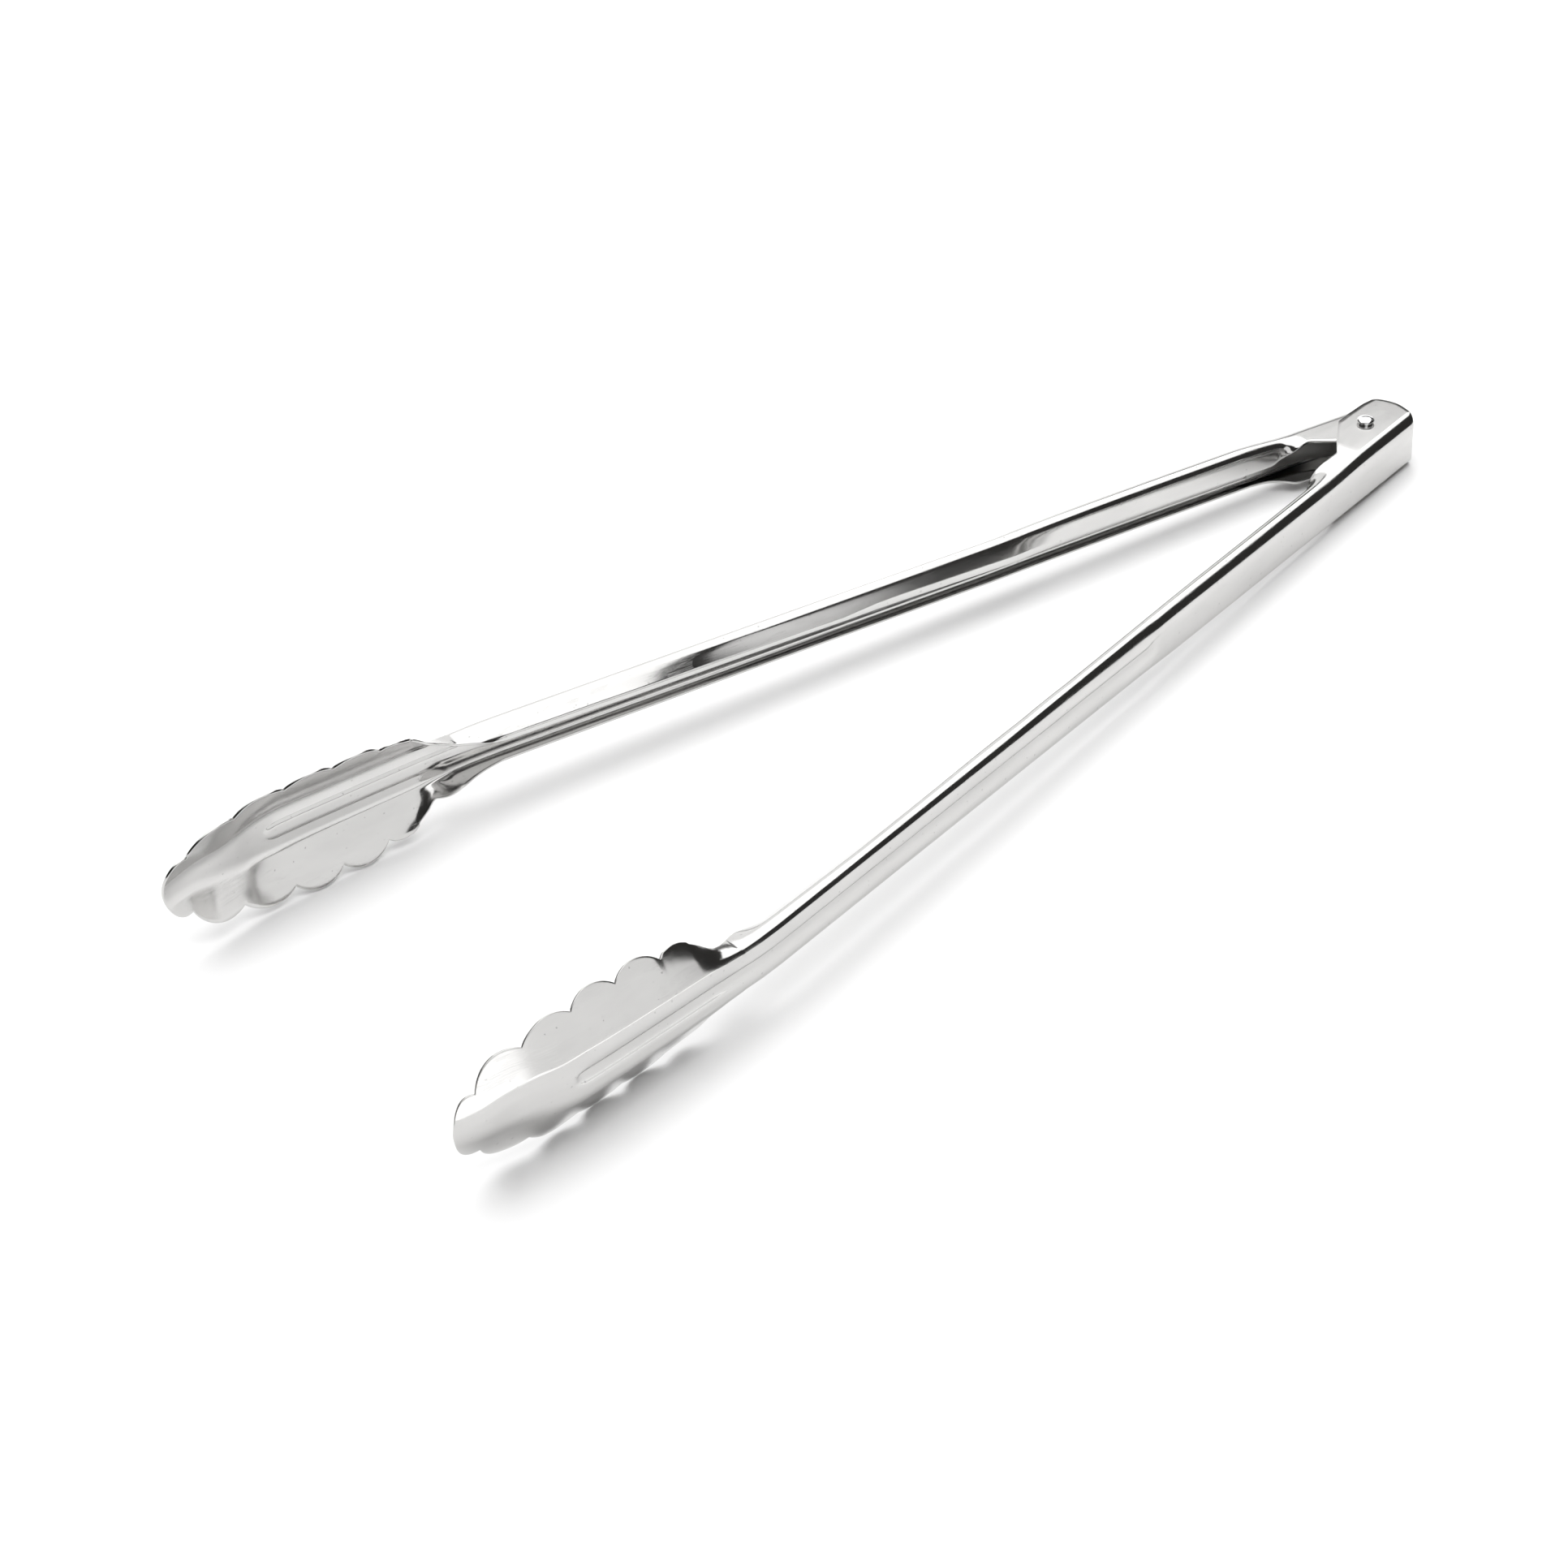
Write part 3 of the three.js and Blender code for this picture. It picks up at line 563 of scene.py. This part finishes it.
def steel(name, base, rough, rough_var, grain, scratch, aniso, warm=0.0, spots=True):
    N = Nodes(name)
    uv = N.add("ShaderNodeUVMap", uv_map="along").outputs[0]
    b = N.bsdf
    b.inputs["Metallic"].default_value = 1.0
    b.inputs["Anisotropic"].default_value = aniso
    b.inputs["Anisotropic Rotation"].default_value = 0.0
    tan = N.add("ShaderNodeTangent", direction_type="UV_MAP", uv_map="along")
    N.link(tan.outputs[0], b.inputs["Tangent"])
    # drawn grain along the strip, broad clouding, fine scratches and pits
    g1 = N.noise(N.mapping(uv, scale=(60, 5200, 1)), 1.0, 3.0, 0.6)
    g2 = N.noise(N.mapping(uv, scale=(300, 9000, 1)), 1.0, 2.0, 0.6)
    cloud = N.noise(N.mapping(uv, scale=(32, 110, 1)), 1.0, 3.0, 0.6)
    fine = N.noise(N.mapping(uv, scale=(1500, 1900, 1)), 1.0, 2.0, 0.6)
    s1 = scratches(N, uv, 2600, 0.010, 0.06, 3.1, 0.54, 40)
    s2 = scratches(N, uv, 2200, 0.008, -0.35, 7.7, 0.60, 30)
    s3 = scratches(N, uv, 1500, 0.008, 1.25, 12.4, 0.63, 18)
    sc = N.math("MAXIMUM", N.math("MAXIMUM", s1, s2), s3)
    # base colour: clouded a little, darker in the scratches
    lo = tuple(c * 0.94 for c in base)
    hi = tuple(min(1, c * 1.03) for c in base)
    col = N.ramp(cloud, [(0.3, lo), (0.7, hi)])
    mix = N.add("ShaderNodeMix", data_type="RGBA")
    mix.blend_type = "MULTIPLY"
    dark = N.math("MULTIPLY", sc, 0.16 * scratch)
    pits = N.noise(N.mapping(uv, scale=(900, 900, 1)), 1.0, 0.0, 0.5)
    pit = N.math("GREATER_THAN", pits, 0.81)
    dark = N.math("ADD", dark, N.math("MULTIPLY", pit, 0.22 if spots else 0.0))
    inv = N.math("SUBTRACT", 1.0, dark)
    comb = N.add("ShaderNodeCombineColor")
    for k in range(3):
        N.link(inv, comb.inputs[k])
    mix.inputs["Factor"].default_value = 1.0
    N.link(col, mix.inputs["A"]); N.link(comb.outputs[0], mix.inputs["B"])
    N.link(mix.outputs["Result"], b.inputs["Base Color"])
    r = N.math("ADD", N.math("MULTIPLY", N.math("SUBTRACT", cloud, 0.5), rough_var * 2), rough)
    r = N.math("ADD", r, N.math("MULTIPLY", N.math("SUBTRACT", g1, 0.5), rough_var))
    r = N.math("ADD", r, N.math("MULTIPLY", sc, 0.10 * scratch))
    N.link(N.math("MAXIMUM", r, 0.03), b.inputs["Roughness"])
    h = N.math("ADD", N.math("MULTIPLY", g1, 0.6), N.math("MULTIPLY", g2, 0.4))
    n1 = N.bump(h, grain, 0.00003)
    n2 = N.bump(fine, grain * 0.5, 0.00002, n1)
    n3 = N.bump(N.math("MULTIPLY", sc, -1.0), 0.5 * scratch, 0.00004, n2)
    # slow waviness of pressed sheet
    wave = N.noise(N.mapping(uv, scale=(45, 150, 1), loc=(5, 9, 0)), 1.0, 1.0, 0.5)
    n4 = N.bump(wave, 0.12, 0.0002, n3)
    N.link(n4, b.inputs["Normal"])
    return N.mat


ARM = steel("arm_steel", (0.605, 0.600, 0.592), 0.13, 0.03, 0.08, 0.18, 0.30)
RIVET = steel("rivet_steel", (0.84, 0.84, 0.84), 0.12, 0.03, 0.12, 0.5, 0.0, spots=False)
SPRING = steel("spring_steel", (0.50, 0.50, 0.49), 0.30, 0.05, 0.5, 0.8, 0.4)

# ---------------------------------------------------------------------- pieces
cut_v, cut_f, cut_uv = turned([(0, -14), (HOLE_R, -14), (HOLE_R, 14), (0, 14)], 64)
cutter = obj("hole_cutter", mesh_of("hole_cutter", cut_v, cut_f, cut_uv), ARM)
arms = {}
for name, inner in (("outer_arm_sheet", False), ("inner_arm_sheet", True)):
    ob = obj(name, arm_mesh(name, inner), ARM)
    m = ob.modifiers.new("hole", "BOOLEAN")
    m.operation, m.object, m.solver = "DIFFERENCE", cutter, "EXACT"
    dg = bpy.context.evaluated_depsgraph_get()
    new = bpy.data.meshes.new_from_object(ob.evaluated_get(dg))
    ob.modifiers.clear()
    ob.data = new
    sharpen(new, 50)
    arms[name] = ob
bpy.data.objects.remove(cutter, do_unlink=True)

e = HINGE_HALF_OUTER
top = e + HEAD_RISE
prof = [(0, -e - 1.05), (0.7, -e - 1.04), (1.4, -e - 0.97), (2.0, -e - 0.82), (2.45, -e - 0.6), (2.68, -e - 0.36), (2.75, -e - 0.2),
        (2.72, -e - 0.09), (2.64, -e - 0.06), (PIN_R + 0.05, -e - 0.06), (PIN_R, -e - 0.02), (PIN_R, 0), (PIN_R, top - 0.02), (PIN_R + 0.04, top),
        (HEAD_R - 0.16, top + 0.02), (HEAD_R - 0.05, top + 0.07), (HEAD_R, top + 0.17), (HEAD_R - 0.01, top + 0.28), (HEAD_R - 0.1, top + 0.44),
        (2.25, top + 0.68), (1.9, top + 0.87), (1.45, top + 1.03), (0.95, top + 1.13), (0.45, top + 1.185), (0, top + 1.2)]
rv, rf, ru = turned(prof, 64)
rivet = obj("rivet_turned", mesh_of("rivet_turned", rv, rf, ru), RIVET)
sharpen(rivet.data, 50)


def spring_mesh():
    h = OPEN / 2
    v_in = WEB_V - SHEET - 0.08 - SPRING_T / 2
    tab = [(SPRING_END, v_in - 0.25), (31, v_in), (26, v_in), (21, v_in - 0.15), (16, v_in - 0.9), (11, v_in - 2.3), (6, v_in - 3.9)]
    leg = [(s, curve([(a, b) for a, b in reversed(tab)], s)) for s in [SPRING_END - i * 0.55 for i in range(51)] if s >= 6]
    pts = [(s * math.cos(h) - v * math.sin(h), s * math.sin(h) + v * math.cos(h)) for s, v in leg]
    line = list(pts)
    for i in range(41):
        t = math.radians(78 + 204 * i / 40)
        line.append((SPRING_LOOP * math.cos(t), SPRING_LOOP * math.sin(t)))
    line += [(x, -y) for x, y in reversed(pts)]
    # even out the joins
    for _ in range(3):
        line = [line[0]] + [tuple((line[i - 1][k] + 2 * line[i][k] + line[i + 1][k]) / 4 for k in (0, 1)) for i in range(1, len(line) - 1)] + [line[-1]]
    r, hw, ht = 0.15, SPRING_W / 2, SPRING_T / 2
    ring = []
    for cx, cy, a0 in ((ht - r, hw - r, 0), (-(ht - r), hw - r, 90), (-(ht - r), -(hw - r), 180), (ht - r, -(hw - r), 270)):
        for k in range(4):
            a = math.radians(a0 + 30 * k)
            ring.append((cx + r * math.cos(a), cy + r * math.sin(a)))
    verts, uvs, faces = [], [], []
    n, k = len(line), len(ring)
    run = 0
    for i in range(n):
        a, b = line[max(0, i - 1)], line[min(n - 1, i + 1)]
        l = math.hypot(b[0] - a[0], b[1] - a[1])
        nx, ny = -(b[1] - a[1]) / l, (b[0] - a[0]) / l
        if i:
            run += math.hypot(line[i][0] - line[i - 1][0], line[i][1] - line[i - 1][1])
        for (u, z) in ring:
            # ends of the strip are cut with rounded corners
            verts.append((line[i][0] + nx * u, line[i][1] + ny * u, z))
            uvs.append((run / 1000, z / 1000 + (0.02 if u > 0 else 0)))
    for i in range(n - 1):
        for j in range(k):
            a, b = i * k + j, i * k + (j + 1) % k
            faces.append([a, b, b + k, a + k])
    faces.append(list(range(k))[::-1]); faces.append([(n - 1) * k + j for j in range(k)])
    return mesh_of("hairpin_strip", verts, faces, uvs)


spring = obj("hairpin_strip", spring_mesh(), SPRING)
sharpen(spring.data, 50)

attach(arms["outer_arm_sheet"], "outer_arm")
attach(arms["inner_arm_sheet"], "inner_arm")
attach(rivet, "outer_arm")
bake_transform(spring)
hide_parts("outer_arm")
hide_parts("inner_arm")
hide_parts("pivot_rivet")
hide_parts("torsion_spring")

# ------------------------------------------------------------------------ stage
def floor_mesh():
    me = bpy.data.meshes.new("floor")
    S = 30.0
    me.from_pydata([(-S, -S, 0), (S, -S, 0), (S, S, 0), (-S, S, 0)], [], [[0, 1, 2, 3]])
    return me


F = Nodes("floor_paper")
tc = F.add("ShaderNodeTexCoord").outputs["Object"]
F.link(F.ramp(F.noise(tc, 3.0, 3.0, 0.5), [(0.3, 0.90), (0.7, 0.92)]), F.bsdf.inputs["Base Color"])
F.bsdf.inputs["Roughness"].default_value = 0.9
F.bsdf.inputs["Specular IOR Level"].default_value = 0.1
floor = bpy.data.objects.new("floor", floor_mesh())
bpy.context.scene.collection.objects.link(floor)
floor.data.materials.append(F.mat)
floor.location.z = -0.0002


def panel(name, centre, look_at, size, radiance, glossy=True, diffuse=True, up="Y"):
    d = bpy.data.lights.new(name, "AREA")
    d.shape = "RECTANGLE"
    d.size, d.size_y = size
    # an area light's radiance is power / (pi * area)
    d.energy = radiance * math.pi * size[0] * size[1]
    o = bpy.data.objects.new(name, d)
    bpy.context.scene.collection.objects.link(o)
    o.location = centre
    o.rotation_mode = "QUATERNION"
    o.rotation_quaternion = (Vector(look_at) - Vector(centre)).to_track_quat("-Z", up)
    o.visible_camera = False
    o.visible_glossy = glossy
    o.visible_diffuse = diffuse
    return o


def az(deg, r, z=0.0):
    return Vector((math.cos(math.radians(deg)) * r, math.sin(math.radians(deg)) * r, z))


# large soft panel overhead, set back from the camera
u225, u135 = az(225, 1), az(135, 1)
c = u225 * 0.72 - u135 * 0.15 + Vector((0, 0, 1.12))
top_panel = panel("top_panel", c, c - Vector((0, 0, 1)), (2.3, 2.1), 1.75, diffuse=True)
top_panel.rotation_mode = "XYZ"
top_panel.rotation_euler = (0, 0, math.radians(45))
# low panel beyond the right of the picture
q = Vector((-0.10, 0.44, 0))
low = panel("low_panel", (0.1325, 0.335, 0.17), (0.10, 0.0, 0.17), (0.515, 0.34), 1.08, diffuse=False)
# low screen behind the picture: seen only in the rounded top edges
back_low = panel("back_screen_low", az(230, 1.5, 0.24), (0.0, 0.0, 0.24), (1.8, 0.48), 1.15, diffuse=False)
side_step = Vector((0.766, -0.643, 0))
back_high = panel("back_screen_high", az(230, 1.5, 0.69) + side_step * 0.41, side_step * 0.41 + Vector((0, 0, 0.69)), (0.98, 0.42), 1.15, diffuse=False)
back_ear = panel("back_screen_ear", az(230, 1.5, 1.05) - side_step * 0.5, -side_step * 0.5 + Vector((0, 0, 1.05)), (0.9, 0.5), 0.9, diffuse=False)
# key for the floor only: the paper is far brighter than the metal's surroundings
key = panel("key", az(262, 0.60, 1.35), (0.02, 0, 0), (0.9, 0.9), 0.65, glossy=False)
fill = panel("fill", (0, 0, 2.2), (0, 0, 0), (3.2, 3.2), 1.3, glossy=False)

world = bpy.data.worlds.new("studio")
bpy.context.scene.world = world
world.use_nodes = True
nt = world.node_tree
bg = nt.nodes["Background"]
lp = nt.nodes.new("ShaderNodeLightPath")
mx = nt.nodes.new("ShaderNodeMix")
mx.data_type = "RGBA"
mx.inputs["A"].default_value = (0.035, 0.034, 0.033, 1)
mx.inputs["B"].default_value = (1.0, 1.0, 1.0, 1)
nt.links.new(lp.outputs["Is Camera Ray"], mx.inputs["Factor"])
nt.links.new(mx.outputs["Result"], bg.inputs["Color"])
bg.inputs["Strength"].default_value = 1.0

sc = bpy.context.scene
sc.view_settings.view_transform = "Standard"
sc.view_settings.look = "None"
sc.view_settings.exposure = 0.0
sc.view_settings.gamma = 1.0

# ----------------------------------------------------------------------- camera
AZ, EL, ROLL, FPX, DIST, TX, TY = 0.879283498920249, 0.649634354273388, -0.030116304867158643, 4998.41, 1106.753, 241.41587, 9.95478
K = 0.975
RIGHT = Vector((-0.75831745, 0.65144431, -0.02397814))
UP = Vector((-0.40876329, -0.4465264, 0.79594394))
BACK = Vector((0.50780628, 0.61337956, 0.60489528))
pos = (Vector((TX, TY, 0)) + BACK * DIST) * K
turn = Matrix(((COS_T, 0, SIN_T), (0, 1, 0), (-SIN_T, 0, COS_T)))
cam_data = bpy.data.cameras.new("camera")
cam = bpy.data.objects.new("camera", cam_data)
sc.collection.objects.link(cam)
r, u, b = turn @ RIGHT, turn @ UP, turn @ BACK
loc = turn @ pos / 1000 + PIVOT
cam.matrix_world = Matrix(((r.x, u.x, b.x, loc.x), (r.y, u.y, b.y, loc.y), (r.z, u.z, b.z, loc.z), (0, 0, 0, 1)))
cam_data.sensor_width = 36.0
cam_data.lens = FPX / 1932 * 36.0
cam_data.clip_start, cam_data.clip_end = 0.01, 200
cam_data.dof.use_dof = False
sc.camera = cam
